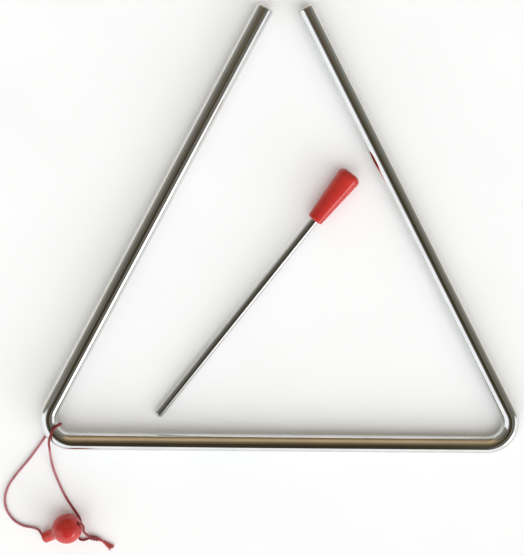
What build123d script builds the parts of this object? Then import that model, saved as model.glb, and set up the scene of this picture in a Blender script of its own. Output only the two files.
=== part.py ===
# Triangle instrument on its hanger cord, with its beater, laid down on a table.
# Millimetres. +Z is up and the table is z = 0. The bottom bar runs along X, the open corner points to +Y,
# and the origin is under the middle of the triangle and the beater.
from build123d import *
import math
import os

# Triangle bar, measured along its centre line
BASE_LENGTH = 180.0  # between the sharp corners of the bottom side
LEG_LENGTH = 177.0  # from a sharp corner to the open end
TIP_SPACING = 13.7  # between the centres of the two open ends
BAR_DIAMETER = 6.4
BEND_RADIUS = 8.5
TIP_ROUNDING = 0.8

# Beater
ROD_DIAMETER = 3.2
ROD_LENGTH = 106.6
ROD_TIP_ROUNDING = 1.0
GRIP_LENGTH = 21.2
GRIP_MOUTH_DIAMETER = 5.7
GRIP_END_DIAMETER = 8.9
GRIP_MOUTH_ROUNDING = 0.6
GRIP_END_ROUNDING = 2.2
GRIP_BORE_DEPTH = 14.5
BEATER_LEAN = 9.64  # degrees between the beater and the left leg
BEATER_TIP_CLEARANCE = 4.5  # between the rod's tip and the bottom bar
BEATER_END_CLEARANCE = 3.8  # between the grip's end and the right leg

# Hanger cord. Its points are measured from the left bend's centre, on the table.
CORD_DIAMETER = 1.0
CORD_CLEARANCE = 0.3  # between the turn of cord and the bar that lies on it
WRAP_ANGLE = 33.0  # degrees from -X to -Y, where the cord crosses under the bend
CORD_ROUTE = [
    # from the knot, round the ball's foot and along the right-hand strand
    (5.8, -47.0, 0.7),
    (4.5, -47.4, 0.65),
    (3.2, -48.0, 0.55),
    (1.5, -47.6, 0.55),
    (0.9, -45.6, 0.55),
    (1.8, -43.3, 0.55),
    (2.3, -40.9, 0.55),
    (1.3, -38.2, 0.55),
    (-0.9, -35.1, 0.55),
    (-3.5, -30.9, 0.55),
    (-5.7, -26.0, 0.55),
    (-7.6, -21.0, 0.55),
    # up, over the bend, round its inner side and back under it
    (-8.4, -16.7, 1.4),
    (-8.2, -11.8, 5.1),
    (-8.0, -7.4, 8.6),
    (-6.1, -2.4, 9.0),
    (-3.2, -1.9, 4.6),
    (-5.5, -3.0, 0.55),
    # left-hand strand, out on the table and round to the bead's neck
    (-9.3, -6.2, 0.55),
    (-12.8, -11.5, 0.55),
    (-17.1, -17.4, 0.55),
    (-21.6, -22.6, 0.55),
    (-24.9, -27.4, 0.55),
    (-26.2, -32.3, 0.55),
    (-25.4, -37.0, 0.55),
    (-22.8, -40.6, 0.55),
    (-19.3, -42.7, 0.55),
    (-16.0, -43.4, 0.55),
    (-13.9, -44.5, 0.75),
    (-12.9, -46.1, 1.15),
    # through the bead, and over the ball's shoulder down to the knot
    (-11.4, -46.6, 1.75),
    (3.0, -38.8, 7.7),
    (4.5, -39.4, 7.2),
    (4.4, -41.3, 5.8),
    (3.9, -43.3, 4.1),
    (4.6, -45.2, 2.4),
    (5.8, -46.3, 1.55),
]
ARC_SHARE = 0.45  # of the shorter run, taken by the arc at each point

# Knot and cut ends
KNOT_PLACE = (7.0, -46.9)
KNOT_HEADING = -13.0
KNOT_DIAMETER = 2.2
KNOT_LENGTH = 4.6
KNOT_ROUNDING = 0.8
TAIL_DIAMETER = 1.5  # of the two ends laid together
TAIL_ROUTE = [(8.6, -47.2, 1.1), (10.6, -48.1, 0.8), (12.1, -49.4, 0.8)]
FRAY_LENGTH = 2.5
FRAY_WIDTH = 3.1
FRAY_THICKNESS = 1.0

# Holder bead
BEAD_PLACE = (-2.2, -41.6)  # under the ball's centre
BEAD_HEADING = 28.7  # of the bore, from the neck to the ball
BALL_DIAMETER = 11.1
NECK_REACH = 10.8  # from the ball's centre to the end of the neck
NECK_DIAMETER = 4.3
NECK_FILLET = 3.0
NECK_RIM_ROUNDING = 0.5
BEAD_BORE_DIAMETER = 1.7
BORE_EDGE_ROUNDING = 0.3

BAR_RADIUS = BAR_DIAMETER / 2
ROD_RADIUS = ROD_DIAMETER / 2
CORD_RADIUS = CORD_DIAMETER / 2
BALL_RADIUS = BALL_DIAMETER / 2
NECK_RADIUS = NECK_DIAMETER / 2
BORE_RADIUS = BEAD_BORE_DIAMETER / 2

# The triangle's corner angle, and its height above the bottom side's centre line
CORNER_ANGLE = math.degrees(math.acos((BASE_LENGTH - TIP_SPACING) / 2 / LEG_LENGTH))
TIP_HEIGHT = LEG_LENGTH * math.sin(math.radians(CORNER_ANGLE))
TIP_TOP = (
    TIP_HEIGHT
    - TIP_ROUNDING * math.sin(math.radians(CORNER_ANGLE))
    + (BAR_RADIUS - TIP_ROUNDING) * math.cos(math.radians(CORNER_ANGLE))
    + TIP_ROUNDING
)
BASE_Y = (BAR_RADIUS - TIP_TOP) / 2  # puts the origin in the middle of the outline

# Points of the bar's centre line as it would lie flat
LEFT_TIP = Vector(-TIP_SPACING / 2, BASE_Y + TIP_HEIGHT, BAR_RADIUS)
LEFT_CORNER = Vector(-BASE_LENGTH / 2, BASE_Y, BAR_RADIUS)
RIGHT_CORNER = Vector(BASE_LENGTH / 2, BASE_Y, BAR_RADIUS)
RIGHT_TIP = Vector(TIP_SPACING / 2, BASE_Y + TIP_HEIGHT, BAR_RADIUS)
BEND_SETBACK = BEND_RADIUS / math.tan(math.radians(CORNER_ANGLE / 2))
BEND_CENTRE = Vector(LEFT_CORNER.X + BEND_SETBACK, BASE_Y + BEND_RADIUS, 0)


def tube(points, radii, diameter):
    """A round bar or cord along straight runs joined by tangent arcs."""
    path = FilletPolyline(*points, radius=radii)
    section = Plane(origin=path @ 0, z_dir=path % 0) * Circle(diameter / 2)
    return sweep(section, path=path), path.length


def arc_radii(points):
    """At each inner point, the arc that takes ARC_SHARE of the shorter run there."""
    radii = []
    for before, here, after in zip(points, points[1:], points[2:]):
        turn = (here - before).get_angle(after - here)
        shorter = min((here - before).length, (after - here).length)
        radii.append(ARC_SHARE * shorter / math.tan(math.radians(turn / 2)))
    return radii


def make_bar():
    """The bent bar. It lies along its right leg, with the left bend on the turn of cord under it."""
    bar, _ = tube([LEFT_TIP, LEFT_CORNER, RIGHT_CORNER, RIGHT_TIP], BEND_RADIUS, BAR_DIAMETER)
    bar = fillet(bar.faces().filter_by(GeomType.PLANE).edges(), TIP_ROUNDING)
    wrap = math.radians(WRAP_ANGLE)
    crossing = BEND_CENTRE - Vector(math.cos(wrap), math.sin(wrap), 0) * BEND_RADIUS
    right_leg = (RIGHT_TIP - RIGHT_CORNER).normalized()
    reach = right_leg.cross(crossing - RIGHT_CORNER).Z
    lift = CORD_DIAMETER + CORD_CLEARANCE
    return bar.rotate(Axis(RIGHT_CORNER, right_leg), math.degrees(math.asin(lift / reach)))


def beater_location():
    """The axis runs from the rod's tip along +X. The beater lies on its tip and its round end."""
    grip_start = ROD_LENGTH - GRIP_BORE_DEPTH
    taper = math.atan((GRIP_END_DIAMETER - GRIP_MOUTH_DIAMETER) / 2 / GRIP_LENGTH)
    tip_ring = ROD_RADIUS - ROD_TIP_ROUNDING
    end_ring = GRIP_END_DIAMETER / 2 - GRIP_END_ROUNDING * (math.tan(taper) + 1 / math.cos(taper))
    along = grip_start + GRIP_LENGTH - GRIP_END_ROUNDING - ROD_TIP_ROUNDING
    across = end_ring - tip_ring
    bulge = (GRIP_END_ROUNDING - ROD_TIP_ROUNDING) / math.hypot(along, across)
    rise = math.atan2(across, along) + math.asin(bulge)
    height = ROD_TIP_ROUNDING * (1 - math.sin(rise)) + tip_ring * math.cos(rise)
    corner = math.radians(CORNER_ANGLE)
    heading = math.radians(CORNER_ANGLE - BEATER_LEAN)
    tip_from_base = BAR_RADIUS + ROD_RADIUS + BEATER_TIP_CLEARANCE
    end_from_leg = BAR_RADIUS + GRIP_END_DIAMETER / 2 + BEATER_END_CLEARANCE
    plan_length = (grip_start + GRIP_LENGTH) * math.cos(rise)
    tip_from_leg = end_from_leg + plan_length * math.sin(corner + heading)
    tip_x = RIGHT_CORNER.X - (tip_from_leg + tip_from_base * math.cos(corner)) / math.sin(corner)
    place = Pos(tip_x, BASE_Y + tip_from_base, height)
    return place * Rot(0, 0, math.degrees(heading)) * Rot(0, -math.degrees(rise), 0)


def make_rod():
    rod = Rot(0, 90, 0) * Cylinder(ROD_RADIUS, ROD_LENGTH, align=(Align.CENTER, Align.CENTER, Align.MIN))
    return fillet(rod.edges().group_by(Axis.X)[0], ROD_TIP_ROUNDING)


def make_grip():
    """A tapered grip with a round end, over a blind bore that the rod fills."""
    start = ROD_LENGTH - GRIP_BORE_DEPTH
    end = start + GRIP_LENGTH
    mouth_edge = (start, GRIP_MOUTH_DIAMETER / 2)
    end_edge = (end, GRIP_END_DIAMETER / 2)
    bore_mouth = (start, ROD_RADIUS)
    bore_end = (ROD_LENGTH, ROD_RADIUS)
    outline = Polyline(bore_mouth, mouth_edge, end_edge, (end, 0), (ROD_LENGTH, 0), bore_end, close=True)
    half = make_face(outline)
    half = fillet(half.vertices().sort_by_distance(mouth_edge)[0], GRIP_MOUTH_ROUNDING)
    half = fillet(half.vertices().sort_by_distance(end_edge)[0], GRIP_END_ROUNDING)
    return revolve(half, Axis.X)


def bead_location():
    """The bore runs along +X with the ball's centre at 0. The ball and the neck's rim lie on the table."""
    along = NECK_REACH - NECK_RIM_ROUNDING
    across = NECK_RADIUS - NECK_RIM_ROUNDING
    drop = BALL_RADIUS - NECK_RIM_ROUNDING
    rest = math.asin(drop / math.hypot(along, across)) - math.atan2(across, along)
    place = Pos(BEND_CENTRE.X + BEAD_PLACE[0], BEND_CENTRE.Y + BEAD_PLACE[1], BALL_RADIUS)
    return place * Rot(0, 0, BEAD_HEADING) * Rot(0, -math.degrees(rest), 0)


def make_bead():
    ball = Sphere(BALL_RADIUS)
    neck = Rot(0, -90, 0) * Cylinder(NECK_RADIUS, NECK_REACH, align=(Align.CENTER, Align.CENTER, Align.MIN))
    bead = ball + neck
    rim, joint = bead.edges().filter_by(GeomType.CIRCLE).sort_by(Axis.X)[:2]
    bead = fillet(rim, NECK_RIM_ROUNDING)
    bead = fillet(bead.edges().filter_by(GeomType.CIRCLE).sort_by_distance(joint.center())[0], NECK_FILLET)
    bead -= Rot(0, 90, 0) * Cylinder(BORE_RADIUS, 2 * (NECK_REACH + BALL_RADIUS))
    circles = bead.edges().filter_by(GeomType.CIRCLE)
    bore_edges = circles.filter_by(lambda edge: edge.radius < BORE_RADIUS * 1.01)
    return fillet(bore_edges, BORE_EDGE_ROUNDING)


def make_knot():
    """The two strands tied together, drawn tight into a short barrel."""
    barrel = Cylinder(KNOT_DIAMETER / 2, KNOT_LENGTH)
    return fillet(barrel.edges().filter_by(GeomType.CIRCLE), KNOT_ROUNDING)


def make_tail():
    """The cut ends beyond the knot, frayed out flat."""
    points = [Vector(*point) for point in TAIL_ROUTE]
    stem, _ = tube(points, arc_radii(points), TAIL_DIAMETER)
    heading = (points[-1] - points[-2]).normalized()
    level = Vector(heading.X, heading.Y, 0).normalized()
    sideways = level.cross(Vector(0, 0, 1))
    narrow = Plane(origin=points[-1], x_dir=sideways, z_dir=level) * Circle(TAIL_DIAMETER / 2)
    wide = Plane(origin=points[-1] + level * FRAY_LENGTH, x_dir=sideways, z_dir=level)
    fray = loft([narrow, wide * Ellipse(FRAY_WIDTH / 2, FRAY_THICKNESS / 2)])
    return stem + fray


on_bend = Pos(*BEND_CENTRE)
cord_points = [BEND_CENTRE + Vector(*point) for point in CORD_ROUTE]
cord_radii = arc_radii(cord_points)
cord, cord_length = tube(cord_points, cord_radii, CORD_DIAMETER)
knot_location = on_bend * Pos(*KNOT_PLACE, KNOT_DIAMETER / 2) * Rot(0, 0, KNOT_HEADING) * Rot(0, 90, 0)

parts = {
    "triangle_bar": make_bar(),
    "beater_rod": beater_location() * make_rod(),
    "beater_grip": beater_location() * make_grip(),
    "hanger_cord": cord,
    "hanger_knot": knot_location * make_knot(),
    "cord_tail": on_bend * make_tail(),
    "holder_bead": bead_location() * make_bead(),
}

os.makedirs("parts", exist_ok=True)
for name, shape in parts.items():
    export_step(shape, f"parts/{name}.step")

print("cord radii:", [round(radius, 1) for radius in cord_radii])
print("cord length:", round(cord_length, 1))
section_area = math.pi * CORD_RADIUS**2
print("cord volume:", round(cord.volume, 2), "section times length:", round(section_area * cord_length, 2))
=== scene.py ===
# Looks of the triangle instrument: the chromed bar, the red hanger cord with its bead, and the beater.
# Metres, in the model's own frame: +Z up, the table at z = 0, the open corner towards +Y.
# Named sizes and routes are in millimetres, and MM turns them into metres.
import math
import random

import bmesh
import bpy
from mathutils import Matrix, Vector


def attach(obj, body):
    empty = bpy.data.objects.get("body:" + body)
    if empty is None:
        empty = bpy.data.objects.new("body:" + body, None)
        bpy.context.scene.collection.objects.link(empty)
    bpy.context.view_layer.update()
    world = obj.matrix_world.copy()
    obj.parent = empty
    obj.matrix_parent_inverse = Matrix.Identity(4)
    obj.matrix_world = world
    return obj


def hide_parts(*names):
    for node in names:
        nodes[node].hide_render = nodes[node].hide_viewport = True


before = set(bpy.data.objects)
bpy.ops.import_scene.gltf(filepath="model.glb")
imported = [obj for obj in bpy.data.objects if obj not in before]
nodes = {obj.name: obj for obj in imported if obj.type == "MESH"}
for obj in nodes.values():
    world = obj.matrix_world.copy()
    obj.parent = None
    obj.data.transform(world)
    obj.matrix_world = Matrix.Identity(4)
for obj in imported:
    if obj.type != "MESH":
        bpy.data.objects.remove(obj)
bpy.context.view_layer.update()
scene = bpy.context.scene
scene.view_settings.view_transform = "Standard"

MM = 0.001

# Camera: almost overhead, leaning towards the open corner
CAMERA_AIM = Vector((-7.05, -16.5, 0))
CAMERA_DISTANCE = 450
CAMERA_TILT = math.radians(9)
CAMERA_ROLL = math.radians(0.62)
CAMERA_LENS = 85.46
CAMERA_SENSOR = 36

# The cord's route, from the left bend's centre on the table
LEFT_BEND = Vector((-75.848, -68.637, 0))
CORD_ROUTE = [
    # from the knot, round the ball's foot and along the right-hand strand
    (5.8, -47.0, 0.7),
    (4.5, -47.4, 0.65),
    (3.2, -48.0, 0.55),
    (1.5, -47.6, 0.55),
    (0.9, -45.6, 0.55),
    (1.8, -43.3, 0.55),
    (2.3, -40.9, 0.55),
    (1.3, -38.2, 0.55),
    (-0.9, -35.1, 0.55),
    (-3.5, -30.9, 0.55),
    (-5.7, -26.0, 0.55),
    (-7.6, -21.0, 0.55),
    # up, over the bend, round its inner side and back under it
    (-8.4, -16.7, 1.4),
    (-8.2, -11.8, 5.1),
    (-8.0, -7.4, 8.6),
    (-6.1, -2.4, 9.0),
    (-3.6, -2.0, 4.6),
    (-5.5, -3.0, 0.55),
    # left-hand strand, out on the table and round to the bead's neck
    (-9.3, -6.2, 0.55),
    (-12.8, -11.5, 0.55),
    (-17.1, -17.4, 0.55),
    (-21.6, -22.6, 0.55),
    (-24.9, -27.4, 0.55),
    (-26.2, -32.3, 0.55),
    (-25.4, -37.0, 0.55),
    (-22.8, -40.6, 0.55),
    (-19.3, -42.7, 0.55),
    (-16.0, -43.1, 0.55),
    (-13.4, -43.8, 0.85),
    (-12.4, -45.5, 1.3),
    # through the bead, straight in its bore, and over the ball's shoulder down to the knot
    (-11.4, -46.6, 1.75),
    (-10.0, -45.8, 2.3),
    (1.6, -39.6, 7.1),
    (3.0, -38.8, 7.7),
    (3.9, -39.8, 6.8),
    (3.95, -41.5, 5.5),
    (3.6, -43.2, 4.15),
    (4.5, -44.9, 2.7),
    (5.8, -46.3, 1.55),
]
CORD_DIAMETER = 1.0

# A lay is the length in which a cord's yarns go round once
FREE_LAY = 3.4
DRAWN_LAY = 2.6

# Painted shade on the cord, where it lies in the shade of the bar and of the ball: the middle of each spot,
# from the same centre, how far from it the full painted shade reaches, and where it has faded out
SHADED_SPOTS = [
    ((-7.3, -4.3, 6.0), 5.5, 9),
    ((-2.2, -41.6, 5.55), 9, 16),
]

# Knot: turns of cord drawn thin, narrower at both ends by a share of the middle
KNOT_MIDDLE = Vector((7.0, -46.9, 1.1))
KNOT_HEADING = math.radians(-13)
KNOT_LENGTH = 4.6
KNOT_DIAMETER = 2.2
KNOT_TURNS = 4
KNOT_CORD = 0.95
KNOT_NARROWING = 0.35
POINTS_PER_TURN = 12

# Cut ends: two thinned ends laid together, and the tuft of fibres that they open into
TAIL_ROUTE = [(8.6, -47.2, 1.1), (10.6, -48.1, 0.8), (12.1, -49.4, 0.8)]
END_DIAMETER = 0.78
END_OFFSET = 0.36
END_LAY = 9
FRAY_LENGTH = 2.5
FRAY_WIDTH = 3.1
FRAY_THICKNESS = 1.0
FRAY_HEIGHT = 0.7
FRAY_ROOT = 0.6
FIBRES_PER_END = 36
FIBRE_DIAMETER = 0.22
SIDE_MARGIN = 0.15
TOP_MARGIN = 0.08

# Floor: its top just clears what lies on it
FLOOR_RADIUS = 6000
FLOOR_DROP = 0.02

# Room: the light of its windows, and of one brighter pane with a soft edge round its clear middle
WINDOW_LIGHT = (1.20, 1.23, 1.27, 1)
PANE_LIGHT = (4.2, 4.2, 4.3, 1)
PANE_BEARING = math.radians(-42)
PANE_HEIGHT = math.radians(18)
PANE_CLEAR = math.radians(8)
PANE_EDGE = math.radians(13)


def on_bend(point):
    """A point measured from the left bend's centre, in metres in the model's frame."""
    return (LEFT_BEND + Vector(point)) * MM


def linear(code):
    """An sRGB hex colour as linear red, green, blue and alpha."""
    parts = [int(code[i : i + 2], 16) / 255 for i in (1, 3, 5)]
    return [p / 12.92 if p <= 0.04045 else ((p + 0.055) / 1.055) ** 2.4 for p in parts] + [1.0]


def add(tree, kind, settings, links=None):
    """One node, with its settings and the outputs that feed its inputs. Stops are places and hex colours."""
    node = tree.nodes.new(kind)
    for name, value in settings.items():
        if name == "stops":
            for place, _ in value[2:]:
                node.color_ramp.elements.new(place)
            for element, (place, code) in zip(node.color_ramp.elements, value):
                element.position = place
                element.color = linear(code)
        elif isinstance(name, int) or name in node.inputs:
            node.inputs[name].default_value = value
        else:
            setattr(node, name, value)
    for name, output in (links or {}).items():
        tree.links.new(output, node.inputs[name])
    return node


def new_material(name):
    """An empty material with its tree, its shader and the piece's own coordinates."""
    material = bpy.data.materials.new(name)
    material.use_nodes = True
    tree = material.node_tree
    shader = tree.nodes["Principled BSDF"]
    place = add(tree, "ShaderNodeTexCoord", {}).outputs["Object"]
    return material, tree, shader, place


# Bright chrome plate over drawn steel bar: a cool mirror, a little uneven from the drawing, with faint haze
# and fine rubbing marks that only show in the highlights. The marks are drawn coarser than they are, to show.
def chrome_plate(name, dark, light, haze):
    drawn_patch = 9 * MM
    drawn_wave = 6 * MM
    rubbing_mark = 0.8 * MM
    material, tree, shader, place = new_material(name)
    shader.inputs["Metallic"].default_value = 1.0
    patches = add(
        tree,
        "ShaderNodeTexNoise",
        {"Scale": 1 / drawn_patch, "Detail": 4.0, "Roughness": 0.6},
        {"Vector": place},
    )
    tint = add(
        tree,
        "ShaderNodeValToRGB",
        {"stops": [(0.35, dark), (0.65, light)]},
        {"Fac": patches.outputs["Fac"]},
    )
    tree.links.new(tint.outputs["Color"], shader.inputs["Base Color"])
    rubbed = add(tree, "ShaderNodeTexNoise", {"Scale": 1 / rubbing_mark, "Detail": 3.0}, {"Vector": place})
    rough = add(
        tree,
        "ShaderNodeMapRange",
        {"From Min": 0.3, "From Max": 0.7, "To Min": haze, "To Max": haze * 1.5},
        {"Value": rubbed.outputs["Fac"]},
    )
    tree.links.new(rough.outputs["Result"], shader.inputs["Roughness"])
    wave = add(tree, "ShaderNodeTexNoise", {"Scale": 1 / drawn_wave, "Detail": 1.0}, {"Vector": place})
    bump = add(
        tree,
        "ShaderNodeBump",
        {"Strength": 0.25, "Distance": 0.05 * MM},
        {"Height": wave.outputs["Fac"]},
    )
    tree.links.new(bump.outputs["Normal"], shader.inputs["Normal"])
    return material


# Red moulded plastic, glossy from a polished mould: saturated, with soft flow marks and a very fine skin,
# which is drawn coarser than it is, to show.
def moulded_plastic(name, deep, bright):
    flow_mark = 5 * MM
    skin_grain = 0.5 * MM
    material, tree, shader, place = new_material(name)
    shader.inputs["IOR"].default_value = 1.5
    shader.inputs["Specular IOR Level"].default_value = 0.5
    flow = add(
        tree,
        "ShaderNodeTexNoise",
        {"Scale": 1 / flow_mark, "Detail": 3.0, "Distortion": 0.6},
        {"Vector": place},
    )
    tint = add(
        tree,
        "ShaderNodeValToRGB",
        {"stops": [(0.3, deep), (0.7, bright)]},
        {"Fac": flow.outputs["Fac"]},
    )
    tree.links.new(tint.outputs["Color"], shader.inputs["Base Color"])
    skin = add(tree, "ShaderNodeTexNoise", {"Scale": 1 / skin_grain, "Detail": 2.0}, {"Vector": place})
    rough = add(
        tree,
        "ShaderNodeMapRange",
        {"From Min": 0.3, "From Max": 0.7, "To Min": 0.1, "To Max": 0.15},
        {"Value": skin.outputs["Fac"]},
    )
    tree.links.new(rough.outputs["Result"], shader.inputs["Roughness"])
    bump = add(
        tree,
        "ShaderNodeBump",
        {"Strength": 0.05, "Distance": 0.01 * MM},
        {"Height": skin.outputs["Fac"]},
    )
    tree.links.new(bump.outputs["Normal"], shader.inputs["Normal"])
    return material


# Twisted cotton cord, dyed red: matt, with a random tone at the fibres' scale and faded in patches on the
# outside.
# Near the shaded spots, over the bar and at the ball, the colour is darkened: painted shade. The fibres are
# drawn coarser than they are, to show.
def dyed_cotton(name, deep, faded, shaded_spots=()):
    fibre_width = 0.12 * MM
    worn_patch = 3 * MM
    fibre_share = 0.6
    painted_shade_tint = linear("#C66E6F")
    material, tree, shader, place = new_material(name)
    shader.inputs["Roughness"].default_value = 0.85
    shader.inputs["Sheen Weight"].default_value = 0.25
    shader.inputs["Sheen Roughness"].default_value = 0.5
    fibre = add(tree, "ShaderNodeTexNoise", {"Scale": 1 / fibre_width, "Detail": 2.0}, {"Vector": place})
    wear = add(tree, "ShaderNodeTexNoise", {"Scale": 1 / worn_patch, "Detail": 2.0}, {"Vector": place})
    from_fibre = add(
        tree,
        "ShaderNodeMath",
        {"operation": "MULTIPLY", 1: fibre_share},
        {0: fibre.outputs["Fac"]},
    )
    from_both = add(
        tree,
        "ShaderNodeMath",
        {"operation": "MULTIPLY_ADD", 1: 1 - fibre_share},
        {0: wear.outputs["Fac"], 2: from_fibre.outputs["Value"]},
    )
    # Low fibre noise is both the bump's hollows and the deep colour: painted shade between the fibres, over a
    # random tone
    tint = add(
        tree,
        "ShaderNodeValToRGB",
        {"stops": [(0.35, deep), (0.62, faded)]},
        {"Fac": from_both.outputs["Value"]},
    )
    colour = tint.outputs["Color"]
    # Painted shade: the colour is darkened near each shaded spot, over the bar and at the ball
    for middle, full_reach, faded_reach in shaded_spots:
        away = add(tree, "ShaderNodeVectorMath", {"operation": "DISTANCE", 1: on_bend(middle)}, {0: place})
        shade_weight = add(
            tree,
            "ShaderNodeMapRange",
            {"interpolation_type": "SMOOTHSTEP", "From Min": faded_reach * MM, "From Max": full_reach * MM},
            {"Value": away.outputs["Value"]},
        )
        shaded_colour = add(
            tree,
            "ShaderNodeMix",
            {"data_type": "RGBA", "blend_type": "MULTIPLY", 7: painted_shade_tint},
            {0: shade_weight.outputs["Result"], 6: colour},
        )
        colour = shaded_colour.outputs[2]
    tree.links.new(colour, shader.inputs["Base Color"])
    bump = add(
        tree,
        "ShaderNodeBump",
        {"Strength": 0.6, "Distance": 0.04 * MM},
        {"Height": fibre.outputs["Fac"]},
    )
    tree.links.new(bump.outputs["Normal"], shader.inputs["Normal"])
    return material


# White paper on a table: matt, with faint clouds in its white
def white_paper(name, shade, white):
    cloud = 40 * MM
    material, tree, shader, place = new_material(name)
    shader.inputs["Roughness"].default_value = 0.9
    shader.inputs["Specular IOR Level"].default_value = 0.0
    clouds = add(tree, "ShaderNodeTexNoise", {"Scale": 1 / cloud, "Detail": 2.0}, {"Vector": place})
    tint = add(
        tree,
        "ShaderNodeValToRGB",
        {"stops": [(0.3, shade), (0.7, white)]},
        {"Fac": clouds.outputs["Fac"]},
    )
    tree.links.new(tint.outputs["Color"], shader.inputs["Base Color"])
    return material


chrome = chrome_plate("chrome_plated_steel_bar", "#D6D6D3", "#E0E0DE", haze=0.045)
rod_plate = chrome_plate("bright_plated_beater_rod", "#C4C4C2", "#CECECC", haze=0.13)
red_plastic = moulded_plastic("red_moulded_plastic", "#B42B26", "#C2332C")
cord_cotton = dyed_cotton("dyed_red_cotton_cord", "#9C4E56", "#CC8A90", SHADED_SPOTS)
# The knot is drawn in a darker copy of the cord's colours: painted shade in its tight turns
knot_shade_cotton = dyed_cotton("dyed_red_cotton_knot_painted_shade", "#6A2026", "#A0444A")
fray_cotton = dyed_cotton("dyed_red_cotton_frayed", "#9E3232", "#CE5652")
paper = white_paper("white_paper_table", "#FAFAF9", "#FDFDFC")

for name, material in {
    "triangle_bar": chrome,
    "beater_rod": rod_plate,
    "beater_grip": red_plastic,
    "holder_bead": red_plastic,
}.items():
    nodes[name].data.materials.clear()
    nodes[name].data.materials.append(material)


def spline_points(points, name, steps):
    """Points along one smooth open spline that these points steer, all in metres."""
    curve = bpy.data.curves.new(name, "CURVE")
    curve.dimensions = "3D"
    curve.resolution_u = steps
    spline = curve.splines.new("NURBS")
    spline.points.add(len(points) - 1)
    for point, place in zip(spline.points, points):
        point.co = (*place, 1)
    spline.order_u = 3
    spline.use_endpoint_u = True
    holder = bpy.data.objects.new(name, curve)
    mesh = bpy.data.meshes.new_from_object(holder)
    line = [vertex.co.copy() for vertex in mesh.vertices]
    bpy.data.objects.remove(holder)
    bpy.data.curves.remove(curve)
    bpy.data.meshes.remove(mesh)
    return line


def laid_round(line, offset, lay, start_angle):
    """A line that winds round another one, offset from it, once in each lay length."""
    wound = []
    side = Vector((0, 0, 1))
    travelled = 0.0
    for i, here in enumerate(line):
        ahead = (line[min(i + 1, len(line) - 1)] - line[max(i - 1, 0)]).normalized()
        side = (side - ahead * side.dot(ahead)).normalized()
        if i:
            travelled += (here - line[i - 1]).length
        angle = start_angle + 2 * math.pi * travelled / lay
        wound.append(here + offset * (math.cos(angle) * side + math.sin(angle) * ahead.cross(side)))
    return wound


def yarn(bm, line, thickness, taper=1.0, roundness=2):
    """Adds one round yarn along a line, which ends at its taper's share of the thickness."""
    curve = bpy.data.curves.new("yarn", "CURVE")
    curve.dimensions = "3D"
    curve.bevel_depth = thickness / 2
    curve.bevel_resolution = roundness
    curve.use_fill_caps = True
    spline = curve.splines.new("POLY")
    spline.points.add(len(line) - 1)
    for i, (point, place) in enumerate(zip(spline.points, line)):
        point.co = (*place, 1)
        point.radius = 1 + (taper - 1) * i / (len(line) - 1)
    holder = bpy.data.objects.new("yarn", curve)
    mesh = bpy.data.meshes.new_from_object(holder)
    bm.from_mesh(mesh)
    bpy.data.objects.remove(holder)
    bpy.data.curves.remove(curve)
    bpy.data.meshes.remove(mesh)


def three_ply(bm, line, diameter, lay, start_angle=0.0):
    """Adds a cord of three yarns laid round a line, each touching the other two."""
    thickness = diameter / (1 + 2 / math.sqrt(3))
    for k in range(3):
        strand = laid_round(line, thickness / math.sqrt(3), lay, start_angle + k * 2 * math.pi / 3)
        yarn(bm, strand, thickness)


def new_piece(bm, name, material, body):
    """Turns a bmesh into a smooth piece that rides on a body."""
    bmesh.ops.remove_doubles(bm, verts=bm.verts, dist=0.0001 * MM)
    bmesh.ops.recalc_face_normals(bm, faces=bm.faces)
    for face in bm.faces:
        face.smooth = True
    mesh = bpy.data.meshes.new(name)
    bm.to_mesh(mesh)
    bm.free()
    mesh.materials.append(material)
    piece = bpy.data.objects.new(name, mesh)
    scene.collection.objects.link(piece)
    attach(piece, body)
    return piece


# Hanger cord
cord_line = spline_points([on_bend(p) for p in CORD_ROUTE], "cord_route", steps=12)
bm = bmesh.new()
three_ply(bm, cord_line, CORD_DIAMETER * MM, FREE_LAY * MM)
cord = new_piece(bm, "twisted_hanger_cord", cord_cotton, "hanger")
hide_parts("hanger_cord")

# Knot: the cord wound round its two strands and drawn tight, fullest in the middle
bm = bmesh.new()
knot_points = KNOT_TURNS * POINTS_PER_TURN
wraps = []
for i in range(knot_points + 1):
    angle = 2 * math.pi * i / POINTS_PER_TURN
    along = 2 * i / knot_points - 1
    turn_radius = (KNOT_DIAMETER - KNOT_CORD) / 2 * (1 - KNOT_NARROWING * along**2)
    wraps.append(
        Vector((
            along * (KNOT_LENGTH - KNOT_CORD) / 2,
            turn_radius * math.cos(angle),
            turn_radius * math.sin(angle),
        ))
    )
knot_place = Matrix.Translation(KNOT_MIDDLE) @ Matrix.Rotation(KNOT_HEADING, 4, "Z")
knot_line = spline_points([on_bend(knot_place @ p) for p in wraps], "knot_route", steps=3)
three_ply(bm, knot_line, KNOT_CORD * MM, DRAWN_LAY * MM)
knot = new_piece(bm, "tied_knot", knot_shade_cotton, "hanger")
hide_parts("hanger_knot")

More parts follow.
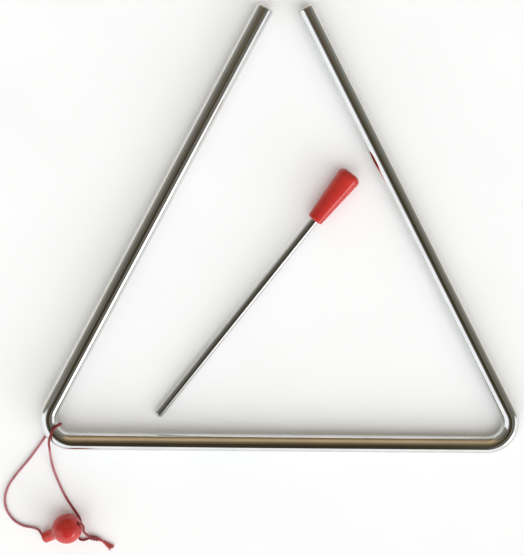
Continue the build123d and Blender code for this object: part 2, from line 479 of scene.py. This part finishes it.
# Cut ends: the two ends lie side by side, then open into loose fibres that bow a little
bm = bmesh.new()
chance = random.Random(7)
tail_line = spline_points([on_bend(p) for p in TAIL_ROUTE], "tail_route", steps=24)
heading = tail_line[-1] - tail_line[-4]
heading.z = 0
heading.normalize()
sideways = heading.cross(Vector((0, 0, 1)))
for k in range(2):
    end_line = laid_round(tail_line, END_OFFSET * MM, END_LAY * MM, math.pi * (k + 0.5))
    three_ply(bm, end_line, END_DIAMETER * MM, DRAWN_LAY * MM, k)
    for _ in range(FIBRES_PER_END):
        spread = chance.uniform(-1, 1)
        rise = chance.uniform(-1, 1) * math.sqrt(1 - spread**2)
        reach = FRAY_LENGTH * chance.uniform(0.7, 1.0)
        root = end_line[-1] - heading * FRAY_ROOT * MM + sideways * chance.uniform(-0.3, 0.3) * MM
        tip = tail_line[-1] + heading * reach * MM + sideways * spread * (FRAY_WIDTH / 2 - SIDE_MARGIN) * MM
        tip.z = (FRAY_HEIGHT + rise * (FRAY_THICKNESS / 2 - TOP_MARGIN)) * MM
        bow = root.lerp(tip, 0.5) + heading * chance.uniform(-0.1, 0.2) * MM
        bow += sideways * chance.uniform(-0.25, 0.25) * MM
        bow.z += chance.uniform(-0.05, 0.2) * MM
        fibre_line = spline_points([root, root.lerp(bow, 0.5), bow, tip], "fibre", steps=4)
        yarn(bm, fibre_line, FIBRE_DIAMETER * MM, taper=0.6, roundness=0)
tail = new_piece(bm, "frayed_cord_ends", fray_cotton, "hanger")
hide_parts("cord_tail")

# Floor: a wide pale table
bm = bmesh.new()
bmesh.ops.create_circle(bm, cap_ends=True, segments=96, radius=FLOOR_RADIUS * MM)
floor_mesh = bpy.data.meshes.new("table")
bm.to_mesh(floor_mesh)
bm.free()
floor_mesh.materials.append(paper)
floor = bpy.data.objects.new("table", floor_mesh)
floor.location.z = -FLOOR_DROP * MM
scene.collection.objects.link(floor)

# World: a dim room that the chrome mirrors, grey at the sides, warm at the far wall and dark at the near one,
# with low windows all along the near half, tallest on the left, and one brighter pane
world = bpy.data.worlds.new("room")
scene.world = world
world.use_nodes = True
tree = world.node_tree
direction = add(tree, "ShaderNodeTexCoord", {}).outputs["Generated"]
axes = add(tree, "ShaderNodeSeparateXYZ", {}, {0: direction})
aside = add(tree, "ShaderNodeMath", {"operation": "ABSOLUTE"}, {0: axes.outputs["X"]})

# The far half: its walls change in tone from the floor up to the ceiling
side_walls = add(
    tree,
    "ShaderNodeValToRGB",
    {
        "stops": [
            (0.00, "#B6B3A9"),
            (0.30, "#9F9C92"),
            (0.62, "#84817A"),
            (0.83, "#716E66"),
            (1.00, "#5F5C55"),
        ]
    },
    {"Fac": axes.outputs["Z"]},
)
far_wall = add(
    tree,
    "ShaderNodeValToRGB",
    {
        "stops": [
            (0.00, "#715D3D"),
            (0.33, "#9D8664"),
            (0.62, "#CEB794"),
            (0.83, "#BCA685"),
            (0.95, "#7E6C50"),
            (1.00, "#686050"),
        ]
    },
    {"Fac": axes.outputs["Z"]},
)
to_side = add(
    tree,
    "ShaderNodeMapRange",
    {"interpolation_type": "SMOOTHSTEP", "From Min": 0.12, "From Max": 0.34},
    {"Value": aside.outputs["Value"]},
)
far_half = add(
    tree,
    "ShaderNodeMix",
    {"data_type": "RGBA"},
    {0: to_side.outputs["Result"], 6: far_wall.outputs["Color"], 7: side_walls.outputs["Color"]},
)

# The near half, above the windows
near_wall = add(
    tree,
    "ShaderNodeMix",
    {"data_type": "RGBA", 6: linear("#433B2C"), 7: linear("#78756E")},
    {0: to_side.outputs["Result"]},
)
to_near = add(
    tree,
    "ShaderNodeMapRange",
    {"interpolation_type": "SMOOTHSTEP", "From Min": 0.1, "From Max": -0.15},
    {"Value": axes.outputs["Y"]},
)
dim_room = add(
    tree,
    "ShaderNodeMix",
    {"data_type": "RGBA"},
    {0: to_near.outputs["Result"], 6: far_half.outputs[2], 7: near_wall.outputs[2]},
)

# The windows' top edge rises to both sides, more to the left
raised_edge = add(
    tree,
    "ShaderNodeMath",
    {"operation": "MULTIPLY_ADD", 1: -0.373},
    {0: aside.outputs["Value"], 2: axes.outputs["Z"]},
)
leaning_edge = add(
    tree,
    "ShaderNodeMath",
    {"operation": "MULTIPLY_ADD", 1: 0.293},
    {0: axes.outputs["X"], 2: raised_edge.outputs["Value"]},
)
below_edge = add(
    tree,
    "ShaderNodeMapRange",
    {"interpolation_type": "SMOOTHSTEP", "From Min": 0.57, "From Max": 0.43},
    {"Value": leaning_edge.outputs["Value"]},
)
in_near_half = add(
    tree,
    "ShaderNodeMapRange",
    {"interpolation_type": "SMOOTHSTEP", "From Min": 0.02, "From Max": -0.12},
    {"Value": axes.outputs["Y"]},
)
windows = add(
    tree,
    "ShaderNodeMath",
    {"operation": "MULTIPLY"},
    {0: below_edge.outputs["Result"], 1: in_near_half.outputs["Result"]},
)
lit_room = add(
    tree,
    "ShaderNodeMix",
    {"data_type": "RGBA", 7: WINDOW_LIGHT},
    {0: windows.outputs["Value"], 6: dim_room.outputs[2]},
)

# The brighter pane, low on the right, draws the long highlight on the grip and on the rod
pane_way = Vector((math.cos(PANE_BEARING), math.sin(PANE_BEARING), math.tan(PANE_HEIGHT))).normalized()
to_pane = add(tree, "ShaderNodeVectorMath", {"operation": "DOT_PRODUCT", 1: pane_way}, {0: direction})
pane = add(
    tree,
    "ShaderNodeMapRange",
    {"interpolation_type": "SMOOTHSTEP", "From Min": math.cos(PANE_EDGE), "From Max": math.cos(PANE_CLEAR)},
    {"Value": to_pane.outputs["Value"]},
)
sunlit_room = add(
    tree,
    "ShaderNodeMix",
    {"data_type": "RGBA", 7: PANE_LIGHT},
    {0: pane.outputs["Result"], 6: lit_room.outputs[2]},
)
tree.links.new(sunlit_room.outputs[2], tree.nodes["Background"].inputs["Color"])

# Soft light from the windows and from above, hidden from the mirror of the chrome
for name, energy, colour, height, bearing, softness in (
    ("window_light", 1.97, (0.95, 0.97, 1.0), 40, 30, 90),
    ("overhead_light", 0.6, (0.9, 0.95, 1.0), 90, 0, 80),
):
    lamp_data = bpy.data.lights.new(name, "SUN")
    lamp_data.energy = energy
    lamp_data.color = colour
    lamp_data.angle = math.radians(softness)
    lamp = bpy.data.objects.new(name, lamp_data)
    lamp.location = (0, 0, 1)
    lamp.rotation_euler = (math.radians(90 - height), 0, math.radians(bearing))
    lamp.visible_glossy = False
    scene.collection.objects.link(lamp)

# Camera
back = Vector((0, math.sin(CAMERA_TILT), math.cos(CAMERA_TILT)))
level_up = Vector((0, math.cos(CAMERA_TILT), -math.sin(CAMERA_TILT)))
level_across = Vector((1, 0, 0))
across = level_across * math.cos(CAMERA_ROLL) + level_up * math.sin(CAMERA_ROLL)
up = level_up * math.cos(CAMERA_ROLL) - level_across * math.sin(CAMERA_ROLL)
camera_data = bpy.data.cameras.new("camera")
camera_data.sensor_fit = "HORIZONTAL"
camera_data.sensor_width = CAMERA_SENSOR
camera_data.lens = CAMERA_LENS
camera_data.clip_start = 10 * MM
camera = bpy.data.objects.new("camera", camera_data)
facing = Matrix((across, up, back)).transposed().to_4x4()
camera.matrix_world = Matrix.Translation((CAMERA_AIM + back * CAMERA_DISTANCE) * MM) @ facing
scene.collection.objects.link(camera)
scene.camera = camera
